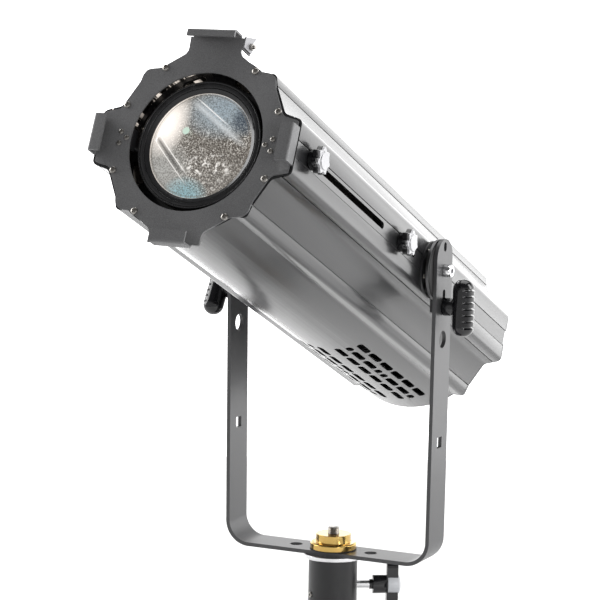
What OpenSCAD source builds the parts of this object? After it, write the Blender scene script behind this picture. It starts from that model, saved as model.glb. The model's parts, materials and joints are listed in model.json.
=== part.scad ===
// Ellipsoidal spotlight on a bent-bar yoke with a pole socket.
// Millimetres. +Z is up, the beam leaves towards -Y, and the origin is the centre
// of the mouth of the pole socket. The head is drawn lying level, with its optical
// axis along Y through the tilt axis, and is then swung nose-up by "tilt".

/* [Pole socket] */
// Diameter of the stand pole that the socket takes
pole_d = 35; // [28:0.5:36]
// Outside diameter of the socket tube
socket_d = 50.5; // [48:0.5:56]
// Height of the socket tube
socket_h = 71.5; // [64:0.5:90]
// Depth of the pole bore
bore_depth = 64; // [50:1:64]
// Diameter of the bright washer under the yoke
washer_d = 62; // [56:1:66]
// Thickness of that washer
washer_t = 4.45; // [3:0.05:5]
// Height of the clamp screw above the mouth
clamp_z = 42; // [36:1:44]
// Direction that the clamp screw points in, from +X towards +Y
clamp_turn = 30; // [0:1:60]

/* [Yoke] */
// Width of the flat bar that the yoke is bent from
bar_w = 40; // [36:1:42]
// Thickness of the flat bar
bar_t = 4; // [3:0.5:5]
// Outside half-width of the yoke at its base
yoke_half = 115; // [114:0.5:118]
// How far each arm has sprung outwards at the height of the tilt axis
arm_splay = 2.2; // [0:0.1:3]
// Outside radius of the two bends
bend_r = 26; // [20:1:32]
// Height of the tilt axis above the base bar
pivot_h = 298.5; // [280:0.5:330]
// Distance from the middle of the base bar to each fixing hole
base_hole_x = 42.4; // [36:0.1:60]
// Diameter of those fixing holes
base_hole_d = 13; // [9:0.5:14]

/* [Head] */
// Nose-up angle of the head at rest
tilt = 24.3; // [0:0.1:40]
// Distance from the tilt axis to the front face of the front plate
nose_len = 347.8; // [340:0.1:356]
// Distance from the tilt axis to the back of the rear cover
tail_len = 236; // [232:1:260]
// Radius of the rounded top and bottom shells
shell_r = 87.5; // [87:0.1:88.5]
// Half-width over the flat side panels
side_x = 102; // [101:0.1:103]
// Wall thickness of the extruded shells
wall = 2.5; // [2:0.1:3]
// Radius of the opening in the front plate
aperture_r = 67.1; // [64:0.1:68]
// Thickness of the sheet of the front plate
sheet_t = 2; // [1.5:0.1:2]
// Clear depth of the colour-frame channels in front of the plate
channel_d = 12; // [8:0.5:14]

/* [Optics] */
// Outside radius of the front lens barrel
barrel_r = 61.8; // [60:0.1:62]
// How far the barrel sits behind the front face of the plate
barrel_set = 8; // [8:0.5:14]
// Travel of the focus knob and front lens
focus_travel = 175; // [100:1:175]
// Travel of the zoom knob and rear lens
zoom_travel = 33; // [10:1:33]
// Distance from the tilt axis forward to the focus knob
focus_y = 313.5; // [312:0.5:315]
// Distance from the tilt axis forward to the zoom knob
zoom_y = 85.5; // [84:0.5:88]

/* [Handles] */
// Length of the T grip of each tilt lock
grip_len = 58.5; // [50:0.5:64]
// Diameter of the T grip
grip_d = 22; // [18:0.5:22]
// Angle that the left tilt lock was left at
left_grip_turn = -32; // [-60:1:60]

/* [Hidden] */
$fn = 48;
slip = 0.05;                    // gap left between faces that turn or slide on each other
gap = 0.3;                      // gap left between bodies that only pass each other
bore_r = pole_d / 2 + 0.25;
bar_z = socket_h + washer_t + slip;
bar_top = bar_z + bar_t;
axis_z = bar_top + pivot_h;
stud_r = 6;
stud_top = bar_top + 23.5;
arm_out = yoke_half + arm_splay;
arm_in = arm_out - bar_t;
tip_z = axis_z + 12;            // centre of the half-round tip of each arm
lock_z = axis_z - 36.4;
lock_screw_r = 3;
grip_x = arm_out + 21.2;
bolt_r = 4;
back_t = 2.4;                   // tilt backing plates
disc_x = side_x + 6.6;          // inner face of the tilt discs
disc_t = 3.8;
disc_r = 31.6;
clamp_r = 4;
cap_r = 9.6;
front_y = -nose_len;
shell_y0 = front_y + sheet_t;
cover_t = 4;
shell_y1 = tail_len - cover_t;
lip_y = front_y - channel_d - sheet_t;
ridge = [70.3, 57];             // where the cap shells meet the side shells
brow = [66.8, 69.5];            // rounded outer corner of a cap shell
hollow = [83.5, 31.5];          // inside corner between the slope and the side panel
cap_half = 38.5;                // half angle of the round part of a cap shell
top_ports = [46, 69.9];         // screw ports of the cap shells
side_ports = [77.3, 32];        // screw ports of the side shells
port_r = 3.7;
screw_r = 2;
latch_r = 2;
rod_x = 75;
rod_r = 5;
knob_stud_r = 3;
slot_r = 3.4;
block_y0 = -focus_y - 11.5;     // front face of the focus carriage
block_len = 23;
plate_t = 3.5;
barrel_y0 = front_y + barrel_set;
gate_y = -20;
vent_ends = [14.2, 202.5];      // front and back ends of the vent rows
vent_w = 7;

// ---- outline helpers --------------------------------------------------------
function unit(v) = v / norm(v);
function xy(p) = [p[0], p[1]];
function arc_points(o, r, a0, a1, n) =
    [for (i = [0:n]) let (a = a0 + (a1 - a0) * i / n) [o.x + r * cos(a), o.y + r * sin(a)]];
function corner(a, b, c, r, n) = r == 0 ? [b] :
    let (u = unit(a - b), v = unit(c - b), half = acos(u * v) / 2,
        o = b + unit(u + v) * r / sin(half), p = b + u * r / tan(half), q = b + v * r / tan(half),
        a0 = atan2(p.y - o.y, p.x - o.x), a1 = atan2(q.y - o.y, q.x - o.x),
        turn = ((a1 - a0 + 540) % 360) - 180)
    arc_points(o, r, a0, a0 + turn, n);
// an open path of [x, y, fillet radius] points, with its inner corners rounded
function smooth_path(pts, n = 6) = [for (i = [0:len(pts) - 1])
    each i == 0 || i == len(pts) - 1 ? [xy(pts[i])]
        : corner(xy(pts[i - 1]), xy(pts[i]), xy(pts[i + 1]), pts[i][2], n)];
function smooth_loop(pts, n = 6) = let (k = len(pts)) [for (i = [0:k - 1])
    each corner(xy(pts[(i + k - 1) % k]), xy(pts[i]), xy(pts[(i + 1) % k]), pts[i][2], n)];
function right_normal(a, b) = let (d = unit(b - a)) [d.y, -d.x];
// a path moved w to its right; before and after are the points beyond its two ends
function inset(path, w, before, after) = let (k = len(path) - 1) [for (i = [0:k])
    let (n1 = right_normal(i == 0 ? before : path[i - 1], path[i]),
        n2 = right_normal(path[i], i == k ? after : path[i + 1]))
    path[i] + w * (n1 + n2) / (1 + n1 * n2)];
function reversed(path) = [for (i = [len(path) - 1:-1:0]) path[i]];
function flip_x(pts) = reversed([for (p = pts) [-p[0], p[1], p[2]]]);
function flip_y(pts) = reversed([for (p = pts) [p[0], -p[1], p[2]]]);
function bare(p, r = 0) = [p.x, p.y, r];

// ---- placing helpers ---------------------------------------------------------
module in_head() translate([0, 0, axis_z]) rotate([-tilt, 0, 0]) children();
// a flat shape in X and Z, drawn from y0 to y1
module along_y(y0, y1) translate([0, y1, 0]) rotate([90, 0, 0]) linear_extrude(y1 - y0) children();
// a flat shape in Y and Z, drawn from x0 to x1
module along_x(x0, x1) translate([x0, 0, 0]) rotate([90, 0, 90]) linear_extrude(x1 - x0) children();
// a turned shape of [radius, y] points about the optical axis
module turned(profile, steps = 96) rotate([90, 0, 0]) mirror([0, 0, 1])
    rotate_extrude($fn = steps) polygon(profile);
module both_sides() { children(); mirror([1, 0, 0]) children(); }
module at_points(pts) for (p = pts) translate([p.x, p.y]) children();
module four_ways(p) at_points([for (sx = [-1, 1], sy = [-1, 1]) [sx * p.x, sy * p.y]]) children();
module pill(length, width) union() {
    square([length - width, width], center = true);
    for (s = [-1, 1]) translate([s * (length - width) / 2, 0]) circle(d = width);
}

// ---- pole socket -------------------------------------------------------------
module clamp_frame() translate([0, 0, clamp_z]) rotate([0, 0, clamp_turn]) children();

module pole_socket() color([0.09, 0.09, 0.10]) difference() {
    cylinder(h = socket_h, d = socket_d, $fn = 96);
    translate([0, 0, -1]) cylinder(h = bore_depth + 1, r = bore_r, $fn = 96);
    translate([0, 0, bore_depth - 1]) cylinder(h = socket_h, r = stud_r + slip);
    clamp_frame() along_x(0, socket_d) circle(r = clamp_r + slip);
    translate([0, 0, 33]) rotate([0, 0, -129.4]) along_x(0, socket_d) circle(r = 3 + slip);
}

module socket_washer() color([0.86, 0.87, 0.88]) translate([0, 0, socket_h]) difference() {
    union() {
        cylinder(h = 1, d1 = washer_d - 2, d2 = washer_d, $fn = 96);
        translate([0, 0, 1]) cylinder(h = washer_t - 1, d = washer_d, $fn = 96);
    }
    translate([0, 0, -1]) cylinder(h = washer_t + 2, r = stud_r + slip);
}

module pan_stud() color([0.80, 0.78, 0.70]) translate([0, 0, bore_depth + 0.5]) {
    cylinder(h = stud_top - 1 - bore_depth - 0.5, r = stud_r);
    translate([0, 0, stud_top - 1.5 - bore_depth]) cylinder(h = 1, r1 = stud_r, r2 = stud_r - 1);
}

module pan_slip_washer() color([0.05, 0.05, 0.05]) translate([0, 0, bar_top + slip]) difference() {
    cylinder(h = 0.8, r = 24.2, $fn = 96);
    translate([0, 0, -1]) cylinder(h = 3, r = stud_r + slip);
}

module flanged_nut() color([0.80, 0.66, 0.30]) translate([0, 0, bar_top + slip + 0.8]) difference() {
    union() {
        cylinder(h = 5.6, r = 24, $fn = 96);
        translate([0, 0, 5.6]) cylinder(h = 1.2, r1 = 24, r2 = 22.6, $fn = 96);
        translate([0, 0, 6.8]) cylinder(h = 8.6, r = 18.4, $fn = 12);
    }
    translate([0, 0, -1]) cylinder(h = 20, r = stud_r + slip);
}

module grub_screw() color([0.35, 0.35, 0.36]) translate([0, 0, 33]) rotate([0, 0, -129.4]) difference() {
    along_x(bore_r + 0.4, socket_d / 2 + 1.2) circle(r = 3);
    along_x(socket_d / 2 - 1.5, socket_d) circle(r = 1.5, $fn = 6);
}

module clamp_screw() color([0.75, 0.75, 0.77]) clamp_frame() along_x(bore_r + 0.1, 50) circle(r = clamp_r);

module clamp_knob() color([0.07, 0.07, 0.08]) clamp_frame() difference() {
    union() {
        along_x(38.2, 41.6) circle(r = 5.2);
        along_x(41.6, 56) circle(r = 9.6, $fn = 64);
        along_x(56, 68) rotate(90) pill(52, 18.4);
    }
    along_x(37, 50.1) circle(r = clamp_r + slip);
    along_x(57.2, 70) circle(r = cap_r + slip, $fn = 64);
}

module clamp_cap() color([0.62, 0.63, 0.65]) clamp_frame() {
    along_x(57.2, 69) circle(r = cap_r, $fn = 64);
    translate([69, 0, 0]) rotate([0, 90, 0]) cylinder(h = 1.4, r1 = cap_r, r2 = 7, $fn = 64);
}

// ---- yoke --------------------------------------------------------------------
module yoke_strap() {
    top_out = yoke_half + arm_splay * (tip_z + bar_w - bar_z) / pivot_h;
    line = smooth_path([[-top_out, tip_z + bar_w, 0], [-yoke_half, bar_z, bend_r],
        [yoke_half, bar_z, bend_r], [top_out, tip_z + bar_w, 0]], 14);
    inner = inset(line, -bar_t, line[0] + [0, 9], line[len(line) - 1] + [0, 9]);
    color([0.60, 0.60, 0.61]) difference() {
        intersection() {
            along_y(-bar_w / 2, bar_w / 2) polygon(concat(line, reversed(inner)));
            along_x(-150, 150) union() {
                translate([-bar_w / 2, 0]) square([bar_w, tip_z]);
                translate([0, tip_z]) circle(d = bar_w, $fn = 96);
            }
        }
        translate([0, 0, bar_z - 1]) cylinder(h = bar_t + 2, r = stud_r + 0.08);
        for (s = [-1, 1]) translate([s * base_hole_x, 0, bar_z - 1])
            cylinder(h = bar_t + 2, d = base_hole_d, $fn = 64);
        along_x(-150, 150) {
            translate([0, axis_z]) circle(r = bolt_r + 0.08);
            translate([0, axis_z + 24]) rotate(90) pill(9.5, 6.6);
            translate([0, axis_z - 29.5]) rotate(90) pill(21, 6.6);
            translate([0, bar_top + 228.7]) circle(r = 8.8, $fn = 64);
            translate([0, bar_top + 123]) square([11.5, 11], center = true);
        }
    }
}

// clamp pads behind the arms that draw the rims of the tilt discs against them
module tilt_shoes() color([0.08, 0.08, 0.08]) both_sides() difference() {
    along_x(side_x + 2.9, disc_x - gap) translate([-7, axis_z - 42.5]) square([14, 14]);
    along_x(side_x, disc_x + 1) translate([0, lock_z]) circle(r = lock_screw_r + slip);
}

module lock_screw() along_x(side_x + 2.9, grip_x - 6) circle(r = lock_screw_r);

module lock_grip() {
    r = grip_d / 2;
    half = grip_len / 2 - r;
    difference() {
        union() {
            along_x(arm_out + 0.35, grip_x) circle(r = 9);
            translate([grip_x, 0, 0]) rotate_extrude($fn = 64) polygon(concat(
                [[0, -half - r]], arc_points([0, -half], r, -86, 0, 10),
                arc_points([0, half], r, 0, 86, 10), [[0, half + r]]));
        }
        along_x(arm_out - 5, grip_x - 5.9) circle(r = lock_screw_r + slip);
    }
}

module right_lock() translate([0, 0, lock_z]) children();
module left_lock() translate([0, 0, lock_z]) rotate([left_grip_turn, 0, 0]) mirror([1, 0, 0]) children();
module right_lock_screw() color([0.5, 0.5, 0.52]) right_lock() lock_screw();
module right_lock_grip() color([0.05, 0.05, 0.05]) right_lock() lock_grip();
module left_lock_screw() color([0.5, 0.5, 0.52]) left_lock() lock_screw();
module left_lock_grip() color([0.05, 0.05, 0.05]) left_lock() lock_grip();

// ---- front plate -------------------------------------------------------------
// upper right quarter of the plate, from the neck of the top tab round to the side tab
plate_quarter = [[27.5, 105, 0], [26.5, 86, 8], [51, 70, 6], [67, 68, 10],
    [69.8, 54, 6], [82.5, 28.6, 8], [98.6, 24.8, 4], [102, 18, 0]];
plate_lower = [for (p = plate_quarter) p[1] == 105 ? [26.5, 101.3, 0] : p];
ear_x = 26.1;
latch_y = front_y + 11.8;
latch_z = 98;

module channel(x_out, half, lip) {
    translate([x_out - sheet_t, lip_y, -half]) cube([sheet_t, front_y - lip_y, 2 * half]);
    translate([x_out - lip, lip_y, -half]) cube([lip, sheet_t, 2 * half]);
}

module front_plate() color([0.27, 0.27, 0.28]) in_head() {
    outline = smooth_loop(concat(flip_x(plate_quarter), plate_quarter,
        flip_y(plate_lower), flip_x(flip_y(plate_lower))));
    along_y(front_y, front_y + sheet_t) difference() {
        polygon(outline);
        circle(r = aperture_r, $fn = 120);
        four_ways(top_ports) circle(r = screw_r + slip);
        four_ways(side_ports) circle(r = screw_r + slip);
        at_points(rail_screw_points) circle(r = 1.3);
    }
    // small ear, folded back along the neck of the top tab, that carries the latch
    difference() {
        translate([ear_x, front_y, 91.3]) cube([sheet_t, 17, 12]);
        latch_axis() along_x(ear_x - 1, ear_x + 3) circle(r = latch_r + slip);
    }
}

// the four tabs of the plate, bent forward and in, that hold a colour frame
module frame_channels() color([0.27, 0.27, 0.28]) in_head() {
    both_sides() channel(102, 18, 13);
    rotate([0, -90, 0]) channel(105, 24.5, 7.6);
    rotate([0, 90, 0]) channel(101.3, 18, 12);
}

module screw(r_head, h_head, r_shank, length, x, z, y) translate([x, y, z]) rotate([90, 0, 0]) difference() {
    union() {
        cylinder(h = h_head * 0.45, r = r_head);
        translate([0, 0, h_head * 0.45]) cylinder(h = h_head * 0.55, r1 = r_head, r2 = r_head * 0.62);
        translate([0, 0, -length]) cylinder(h = length, r = r_shank);
    }
    translate([0, 0, h_head]) for (a = [0, 90]) rotate([0, 0, a])
        cube([r_head * 1.1, r_head * 0.3, h_head], center = true);
}

rail_screw_points = [for (s = [-1, 1]) each [[s * 70.8, 0], [s * 77.5, 5.7], [s * 77.5, -5.7]]];

module plate_screws() color([0.75, 0.74, 0.73]) in_head() for (p = [top_ports, side_ports])
    for (sx = [-1, 1], sz = [-1, 1]) screw(3.2, 1.9, screw_r, 12, sx * p.x, sz * p.y, front_y);

module rail_screws() color([0.72, 0.71, 0.70]) in_head() for (p = rail_screw_points)
    screw(2.6, 1.3, 1.25, 8, p.x, p.y, front_y);

module latch_axis() translate([0, latch_y, latch_z]) children();

// flat latch that turns on its screw; the fin at its back is for a finger
module latch_clip() color([0.78, 0.79, 0.80]) in_head() difference() {
    latch_axis() translate([ear_x + sheet_t + slip, 0, 0]) rotate([90, 0, 90]) linear_extrude(1.5)
        polygon([[-12.2, -5.4], [3.4, -5.4], [5.8, -2.6], [4.6, 5.8], [9, 12], [-10, 5.6], [-12.2, 5.2]]);
    latch_axis() along_x(ear_x, ear_x + 6) circle(r = latch_r + slip);
}

module latch_screw() color([0.70, 0.68, 0.62]) in_head() latch_axis() {
    along_x(ear_x - 2, ear_x - slip) circle(r = 3.3);
    along_x(ear_x - 2, ear_x + 8.4) circle(r = latch_r);
    along_x(ear_x + 3.65, ear_x + 5.9) circle(r = 3.3, $fn = 6);
}

// ---- extruded shells -----------------------------------------------------------
cap_path = smooth_path(concat([bare(ridge) - [2 * ridge.x, 0, 0], [-brow.x, brow.y, 5.5]],
    [for (p = arc_points([0, 0], shell_r, 90 + cap_half, 90 - cap_half, 24)) bare(p)],
    [bare(brow, 5.5), bare(ridge)]));
side_path = smooth_path([bare(ridge), bare(hollow, 7), [side_x, 26.2, 6],
    [side_x, -26.2, 6], [hollow.x, -hollow.y, 7], [ridge.x, -ridge.y, 0]]);

module shell_section(path, before, after) difference() {
    polygon(concat(path, reversed(inset(path, wall, before, after))));
    seam = right_normal(brow, ridge) + right_normal(ridge, hollow);
    for (sx = [-1, 1], sz = [-1, 1]) translate([sx * ridge.x, sz * ridge.y])
        rotate(atan2(sz * seam.y, sx * seam.x)) square([2.8, 1.1], center = true);
}

module port_holes(p) four_ways(p) circle(r = screw_r + slip);

module cap_section() union() {
    shell_section(cap_path, [-hollow.x, hollow.y], hollow);
    for (s = [-1, 1]) translate([s * top_ports.x, top_ports.y]) circle(r = port_r);
}

module side_section() difference() {
    union() {
        shell_section(side_path, brow, [brow.x, -brow.y]);
        for (s = [-1, 1]) translate([side_ports.x, s * side_ports.y]) circle(r = port_r);
    }
    translate([side_x, 6.9]) square([2.4, 1], center = true);
    translate([side_x, -9.6]) square([0.8, 0.8], center = true);
    for (s = [-1, 1]) translate([93.2, s * 28.4]) rotate(s * 74) square([2.2, 0.9], center = true);
}

// a shell with a 12 mm screw hole in each end of each of its ports
module shell(ports, reach) difference() {
    along_y(shell_y0, shell_y1) children();
    for (y = [shell_y0 - 1, shell_y1 - 12]) along_y(y, y + 13)
        intersection() { port_holes(ports); translate(reach[0]) square(reach[1]); }
}

module vent_slot(angle, y0, y1) rotate([0, angle, 0]) translate([0, (y0 + y1) / 2, -shell_r])
    translate([0, 0, -4]) linear_extrude(12) rotate(90) pill(y1 - y0, vent_w, $fn = 24);

module vents() {
    pitch = (vent_ends[1] - vent_ends[0] + 4.4) / 6;
    long = pitch - 4.4;
    for (s = [-1, 1]) {
        for (a = [6.5, 22.5], i = [0:5])
            vent_slot(s * a, vent_ends[0] + i * pitch, vent_ends[0] + i * pitch + long);
        for (bank = [0, 1]) {
            y0 = vent_ends[0] + bank * 3 * pitch;
            y1 = y0 + 3 * pitch - 4.4;
            vent_slot(s * 14.5, y0, y0 + 11.6);
            vent_slot(s * 14.5, y1 - 11.6, y1);
            for (j = [0, 1])
                vent_slot(s * 14.5, y0 + 16 + j * pitch, y0 + 16 + j * pitch + long);
        }
    }
}

module top_shell() color([0.72, 0.72, 0.73]) in_head()
    shell(top_ports, [[-100, 0], [200, 100]]) cap_section();

module bottom_shell() color([0.70, 0.70, 0.71]) in_head() difference() {
    mirror([0, 0, 1]) shell(top_ports, [[-100, 0], [200, 100]]) cap_section();
    vents();
}

module side_shell() shell(side_ports, [[0, -100], [120, 200]]) side_section();

// slot in the side panel for a knob stud that starts at y and travels back
module knob_slot(y, travel) translate([side_x - 6, 0, 0]) along_x(0, 8)
    translate([y + travel / 2, 0]) pill(travel + 4 * slot_r, 2 * slot_r);

module right_side_shell() color([0.66, 0.66, 0.67]) in_head() difference() {
    side_shell();
    knob_slot(-focus_y, focus_travel);
    knob_slot(-zoom_y, zoom_travel);
    along_x(side_x - 6, side_x + 1) circle(r = bolt_r + slip);
}

module left_side_shell() color([0.66, 0.66, 0.67]) in_head() mirror([1, 0, 0]) difference() {
    side_shell();
    along_x(side_x - 6, side_x + 1) circle(r = bolt_r + slip);
}

// ---- rear ----------------------------------------------------------------------
inlet_z = -64;
data_x = 70;
flank = [for (i = [1:len(side_path) - 2]) side_path[i]];
outer_loop = concat(cap_path, flank, [for (p = cap_path) -p], [for (p = flank) -p]);

module rear_cover() color([0.14, 0.14, 0.15]) in_head() along_y(shell_y1, tail_len) difference() {
    polygon(outer_loop);
    port_holes(top_ports);
    port_holes(side_ports);
    intersection() {
        circle(r = 42, $fn = 96);
        union() for (i = [-5:5]) translate([i * 8, 0]) square([4.4, 90], center = true);
    }
    translate([0, inlet_z]) square([27.4, 19.8], center = true);
    for (s = [-1, 1]) translate([s * data_x, 0]) circle(r = 11.9, $fn = 64);
    for (s = [-1, 1]) translate([s * (side_x + 1), 0]) square([6, 15], center = true);
}

module rear_screws() color([0.75, 0.74, 0.73]) in_head() rotate([0, 0, 180])
    for (p = [top_ports, side_ports], sx = [-1, 1], sz = [-1, 1])
        screw(3.2, 1.9, screw_r, 14, sx * p.x, sz * p.y, -tail_len);

module power_inlet() color([0.06, 0.06, 0.06]) in_head() difference() {
    union() {
        along_y(shell_y1 - 20, tail_len) translate([0, inlet_z]) square([27.2, 19.6], center = true);
        along_y(tail_len, tail_len + 2) translate([0, inlet_z]) square([40, 24], center = true);
    }
    along_y(shell_y1 - 14, tail_len + 3) translate([0, inlet_z]) polygon(
        [[-11.8, -8], [11.8, -8], [11.8, 3.6], [7.4, 8], [-7.4, 8], [-11.8, 3.6]]);
}

module data_sockets() color([0.30, 0.30, 0.31]) in_head() both_sides() difference() {
    union() {
        along_y(shell_y1 - 18, tail_len) translate([data_x, 0]) circle(r = 11.8, $fn = 64);
        along_y(tail_len, tail_len + 1.6) translate([data_x, 0]) square([26, 31], center = true);
    }
    along_y(shell_y1 - 12, tail_len + 3) translate([data_x, 0]) circle(r = 9.6, $fn = 64);
}

// ---- tilt pivots -----------------------------------------------------------------
module tilt_backing_plates() color([0.05, 0.05, 0.05]) in_head() both_sides() difference() {
    along_x(side_x, side_x + back_t) circle(r = 29, $fn = 96);
    along_x(side_x - 1, side_x + 9) circle(r = bolt_r + slip);
}

module backing_screws() color([0.7, 0.7, 0.7]) in_head() both_sides()
    for (a = [35, 145, 215, 325]) rotate([a, 0, 0]) translate([side_x + back_t, 23.3, 0])
        rotate([0, 90, 0]) cylinder(h = 1.4, r1 = 2.3, r2 = 1.5);

// turned disc with a hub towards the body and a raised rim towards the arm
module tilt_discs() color([0.45, 0.45, 0.46]) in_head() both_sides() rotate([0, 90, 0])
    rotate_extrude($fn = 96) polygon([[bolt_r + slip, side_x + back_t], [20, side_x + back_t],
        [20, disc_x], [disc_r - 1.2, disc_x], [disc_r, disc_x + 1], [disc_r, disc_x + disc_t],
        [bolt_r + slip, disc_x + disc_t]]);

module friction_rings() color([0.04, 0.04, 0.04]) in_head() both_sides() difference() {
    along_x(disc_x + disc_t, arm_in - gap) circle(r = 30, $fn = 96);
    along_x(disc_x, arm_in + 1) circle(r = bolt_r + slip);
}

module pivot_bolts() color([0.80, 0.80, 0.82]) in_head() both_sides() difference() {
    union() {
        along_x(side_x - 12, arm_out + 0.4) circle(r = bolt_r);
        along_x(arm_out + 0.4, arm_out + 7.2) circle(r = 6.4, $fn = 64);
        translate([arm_out + 7.2, 0, 0]) rotate([0, 90, 0]) cylinder(h = 0.8, r1 = 6.4, r2 = 5.7, $fn = 64);
    }
    along_x(arm_out + 4, arm_out + 9) circle(r = 3.3, $fn = 6);
}

module pivot_nuts() color([0.6, 0.6, 0.6]) in_head() both_sides() difference() {
    along_x(side_x - wall - 7, side_x - wall) circle(r = 7.5, $fn = 6);
    along_x(side_x - 20, side_x) circle(r = bolt_r + slip);
}

// ---- rails and lens carriages ------------------------------------------------------
module rod_blocks() color([0.10, 0.10, 0.10]) in_head() both_sides() along_y(shell_y0, shell_y0 + 8) difference() {
    translate([66, -10]) square([18, 20]);
    at_points(rail_screw_points) circle(r = 1.3);
}

module guide_rods() color([0.80, 0.80, 0.82]) in_head() both_sides()
    along_y(shell_y0 + 8, gate_y) translate([rod_x, 0]) circle(r = rod_r);

// bearing block on one guide rod, from y0 back; the knob stud screws into its outer face
module bearing(y0, stud_y, x_in) difference() {
    along_y(y0, y0 + block_len) difference() {
        translate([x_in, -11]) square([96 - x_in, 22]);
        translate([rod_x, 0]) circle(r = rod_r + slip);
    }
    translate([0, stud_y, 0]) along_x(rod_x + rod_r, 99) circle(r = knob_stud_r + slip);
}

module focus_carriage() color([0.05, 0.05, 0.05]) in_head() {
    along_y(block_y0, block_y0 + plate_t) difference() {
        circle(r = 78, $fn = 120);
        circle(r = barrel_r, $fn = 120);
        for (s = [-1, 1]) translate([s * rod_x, 0]) square([17, 21], center = true);
        for (a = [22:45:337]) rotate(a) translate([69.5, 0]) rotate(90) pill(24, 9);
    }
    both_sides() bearing(block_y0, -focus_y, 66);
}

// turned tube with stepped front rings; y counts back from the front of the barrel
module lens_barrel() color([0.10, 0.10, 0.11]) in_head() translate([0, barrel_y0, 0]) turned([
    [barrel_r - 0.4, 0], [barrel_r, 0.4], [barrel_r, 40], [53.6, 40], [53.6, 12], [51.2, 12],
    [51.2, 9.4], [55.6, 9.4], [55.6, 1.4], [56, 0.8], [59.4, 0.5], [59.8, 1.6], [60.2, 0]], 120);

module lens_retaining_ring() color([0.12, 0.12, 0.13]) in_head() translate([0, barrel_y0, 0]) turned([
    [55, 1], [55.5, 1.6], [55.5, 3.8], [51.1, 3.8], [51.1, 2.8]], 120);

// plano-convex lens with its round face forward, seated between ring and shoulder
module front_lens() color([0.75, 0.82, 0.85, 0.5]) in_head() translate([0, barrel_y0, 0])
    turned(concat([[0, 9.3], [0, -4]], [for (i = [1:8]) let (r = 52.5 * i / 8) [r, lens_face(r)]],
        [[55.4, 4.6], [55.4, 9.3]]), 96);
function lens_face(r) = -4 + (180 - sqrt(180 * 180 - r * r)) * 1.06;

module zoom_carriage() color([0.06, 0.06, 0.06]) in_head() {
    along_y(-zoom_y - block_len / 2, -zoom_y - block_len / 2 + plate_t) difference() {
        circle(r = 76, $fn = 96);
        circle(r = 44, $fn = 96);
        for (s = [-1, 1]) translate([s * rod_x, 0]) square([17, 21], center = true);
    }
    both_sides() bearing(-zoom_y - block_len / 2, -zoom_y, 66);
}

module zoom_lens_ring() color([0.12, 0.12, 0.13]) in_head()
    translate([0, -zoom_y - block_len / 2, 0]) turned([[44, -3], [44, 16], [38, 16], [38, 12.2], [41, 12.2], [41, -3]]);

module zoom_lens() color([0.75, 0.82, 0.85, 0.5]) in_head() translate([0, -zoom_y - block_len / 2, 0])
    turned(concat([[0, 12], [0, -6]], [for (i = [1:6]) let (r = 40.9 * i / 6)
        [r, -6 + 70 - sqrt(70 * 70 - r * r)]], [[40.9, 12]]), 72);

// seven-lobed hand knob on a stud, standing on the side panel with its axis along X
knob_lobes = 7;
function star(r, depth) = [for (i = [0:knob_lobes * 12 - 1]) let (a = i * 30 / knob_lobes)
    (r - depth * pow(abs(sin(a * knob_lobes / 2)), 1.5)) * [cos(a), sin(a)]];

module knob_grip(y) in_head() translate([0, y, 0]) {
    along_x(rod_x + rod_r + gap, side_x + gap) circle(r = knob_stud_r);
    along_x(side_x + gap, side_x + 5.6) circle(r = 9.5);
    along_x(side_x + 5.6, side_x + 10.4) polygon(star(13.6, 3.4));
}

module knob_cap(y) in_head() translate([0, y, 0]) {
    along_x(side_x + 10.4, side_x + 13.2) polygon(star(13, 3.2));
    along_x(side_x + 13.2, side_x + 14.4) circle(r = 8.4);
}

module focus_knob_grip() color([0.04, 0.04, 0.04]) knob_grip(-focus_y);
module focus_knob_cap() color([0.70, 0.71, 0.72]) knob_cap(-focus_y);
module zoom_knob_grip() color([0.04, 0.04, 0.04]) knob_grip(-zoom_y);
module zoom_knob_cap() color([0.70, 0.71, 0.72]) knob_cap(-zoom_y);

// ---- light engine ------------------------------------------------------------------
module bulkhead_section() difference() {
    polygon(inset(outer_loop, wall + slip, outer_loop[len(outer_loop) - 1], outer_loop[0]));
    four_ways(top_ports) circle(r = port_r + slip);
    four_ways(side_ports) circle(r = port_r + slip);
}

module gate_bulkhead() color([0.08, 0.08, 0.08]) in_head() along_y(gate_y, gate_y + plate_t) difference() {
    bulkhead_section();
    circle(r = 40, $fn = 96);
}

module gate_ring() color([0.55, 0.55, 0.56]) in_head() translate([0, gate_y, 0])
    turned([[40, 0], [40, plate_t], [46, plate_t], [46, plate_t + 2], [32, plate_t + 2], [32, 0]]);

module condenser_ring() color([0.12, 0.12, 0.13]) in_head() translate([0, gate_y + plate_t + 2, 0])
    turned([[43.8, 0], [46, 0], [46, 30], [40, 30], [40, 26.1], [43.8, 26.1]]);

module condenser_lens() color([0.75, 0.82, 0.85, 0.5]) in_head() translate([0, gate_y + plate_t + 2, 0])
    turned(concat([[0, 26], [0, 6]], [for (i = [1:6]) let (r = 43.7 * i / 6)
        [r, 6 + 70 - sqrt(70 * 70 - r * r)]], [[43.7, 26]]), 72);

led_y = 104;
// half of an ellipse of revolution, open towards the gate
module reflector() color([0.85, 0.86, 0.88]) in_head() {
    steps = 12;
    inner = [for (i = [0:steps]) let (a = 25 + 55 * i / steps)
        [43 * sin(a), led_y - 76 * (cos(25) - cos(a))]];
    turned(concat(inner, reversed([for (p = inner) p + [1.6, 0]])), 72);
}

module led_board() color([0.85, 0.83, 0.75]) in_head()
    along_y(led_y, led_y + 2) square([56, 56], center = true);

module led_emitter() color([0.95, 0.85, 0.35]) in_head() along_y(led_y - 1.2, led_y) circle(r = 14);

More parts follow.
